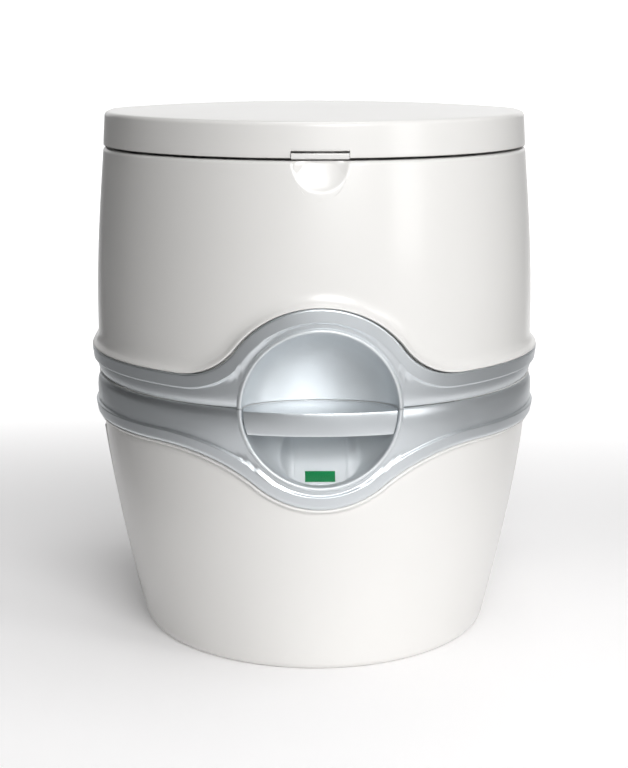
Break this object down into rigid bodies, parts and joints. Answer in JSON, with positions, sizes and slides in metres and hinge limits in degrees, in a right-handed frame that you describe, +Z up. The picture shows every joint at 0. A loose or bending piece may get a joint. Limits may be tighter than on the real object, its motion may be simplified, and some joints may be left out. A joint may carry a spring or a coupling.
{
  "type": "portable cassette toilet",
  "caption": "Portable camping toilet: flush tank with bowl, seat and lid, standing on a removable waste tank with slide valve, turning spout and level window.",
  "frame": {"origin": "middle of the base, on the floor", "axes": "+Z up; -Y is the front, with the pull handle; +X is to the right as seen from the front"},
  "size_m": [0.388, 0.4495, 0.448],
  "materials": {
    "white_shell": "gloss",
    "grey_trim": "satin",
    "dark_plastic": "matte",
    "seal_rubber": "matte",
    "steel": "brushed",
    "green_window": "clear",
    "flag_green": "gloss",
    "flag_red": "gloss",
    "float_foam": "matte",
    "clear_hose": "clear"
  },
  "bodies": {
    "waste_tank": {"waste_tank_shell": "white_shell", "waste_tank_deck": "white_shell", "spout_bay": "white_shell", "lower_trim": "grey_trim", "lower_recess_dish": "grey_trim", "level_panel": "grey_trim", "level_window": "green_window", "float_bracket": "dark_plastic", "valve_frame": "dark_plastic", "valve_frame_screws": "steel", "valve_lip_seal": "seal_rubber", "valve_base_seal": "seal_rubber", "spout_collar": "dark_plastic", "vent_housing": "dark_plastic", "vent_spring": "steel", "latch_bracket": "dark_plastic"},
    "valve": {"valve_blade": "dark_plastic", "valve_handle": "grey_trim"},
    "spout": {"spout_elbow": "dark_plastic"},
    "spout_cap": {"spout_cap": "dark_plastic", "spout_cap_seal": "seal_rubber"},
    "vent": {"vent_button": "grey_trim", "vent_seal": "seal_rubber"},
    "latch": {"rear_latch": "grey_trim"},
    "float": {"level_float": "float_foam", "level_float_arm": "dark_plastic"},
    "flag": {"level_flag": "flag_green", "level_flag_red": "flag_red"},
    "flush_unit": {"flush_tank_shell": "white_shell", "flush_tank_floor": "white_shell", "toilet_bowl": "white_shell", "upper_trim": "grey_trim", "upper_recess_dish": "grey_trim", "pump_cylinder": "white_shell", "pump_collar": "grey_trim", "pump_strainer": "dark_plastic", "rim_nozzle": "dark_plastic", "flush_hose": "clear_hose", "fill_neck": "white_shell", "sight_tube": "clear_hose", "sight_tube_ends": "grey_trim", "hinge_plates": "white_shell", "hinge_brackets": "white_shell"},
    "pump": {"pump_knob": "grey_trim", "pump_rod": "steel", "pump_piston": "dark_plastic", "piston_seal": "seal_rubber"},
    "fill_cap": {"fill_cap": "grey_trim", "fill_cap_seal": "seal_rubber"},
    "sight_float": {"sight_float": "flag_red"},
    "seat": {"seat": "white_shell", "seat_buffers": "seal_rubber", "hinge_pins": "steel"},
    "lid": {"lid": "white_shell", "lid_hinge_arms": "white_shell", "lid_buffers": "seal_rubber"},
    "lid_latch": {"lid_latch": "white_shell"}
  },
  "joints": [
    {"name": "unit_lift", "type": "slide", "parent": "waste_tank", "child": "flush_unit", "axis": [0, 0, 1], "range_m": [0, 0.15]},
    {"name": "seat_hinge", "type": "hinge", "parent": "flush_unit", "child": "seat", "pos_m": [0, 0.137, 0.43], "axis": [-1, 0, 0], "range_deg": [0, 92]},
    {"name": "lid_hinge", "type": "hinge", "parent": "seat", "child": "lid", "pos_m": [0, 0.137, 0.43], "axis": [1, 0, 0], "range_deg": [-96, 0]},
    {"name": "lid_latch_swing", "type": "hinge", "parent": "lid", "child": "lid_latch", "pos_m": [0, -0.1995, 0.435], "axis": [-1, 0, 0], "range_deg": [0, 8], "stiffness_Nm_per_rad": 0.05},
    {"name": "pump_stroke", "type": "slide", "parent": "flush_unit", "child": "pump", "axis": [0, 0, 1], "range_m": [0, 0.055]},
    {"name": "fill_cap_lift", "type": "slide", "parent": "flush_unit", "child": "fill_cap", "axis": [0, 0, 1], "range_m": [0, 0.045]},
    {"name": "sight_float_rise", "type": "slide", "parent": "flush_unit", "child": "sight_float", "axis": [0, 0, 1], "range_m": [0, 0.108]},
    {"name": "valve_slide", "type": "slide", "parent": "waste_tank", "child": "valve", "axis": [0, -1, 0], "range_m": [0, 0.098]},
    {"name": "spout_turn", "type": "hinge", "parent": "waste_tank", "child": "spout", "pos_m": [-0.128, 0.176, 0.153], "axis": [0, 0, 1], "range_deg": [0, 180]},
    {"name": "spout_cap_off", "type": "slide", "parent": "spout", "child": "spout_cap", "axis": [1, 0, 0], "range_m": [0, 0.04]},
    {"name": "vent_press", "type": "slide", "parent": "waste_tank", "child": "vent", "axis": [0, 0, -1], "range_m": [0, 0.004], "stiffness_N_per_m": 400, "deforming": ["vent_spring"]},
    {"name": "latch_swing", "type": "hinge", "parent": "waste_tank", "child": "latch", "pos_m": [0.08, 0.2175, 0.176], "axis": [-1, 0, 0], "range_deg": [0, 25]},
    {"name": "float_rise", "type": "hinge", "parent": "waste_tank", "child": "float", "pos_m": [0, -0.18, 0.143], "axis": [1, 0, 0], "range_deg": [0, 35]},
    {"name": "flag_turn", "type": "hinge", "parent": "waste_tank", "child": "flag", "pos_m": [0, -0.20061, 0.15899], "axis": [1, 0, 0], "range_deg": [0, 88]}
  ],
  "couplings": [
    {"joint": "flag_turn", "follows": "float_rise", "ratio": 2.5}
  ]
}
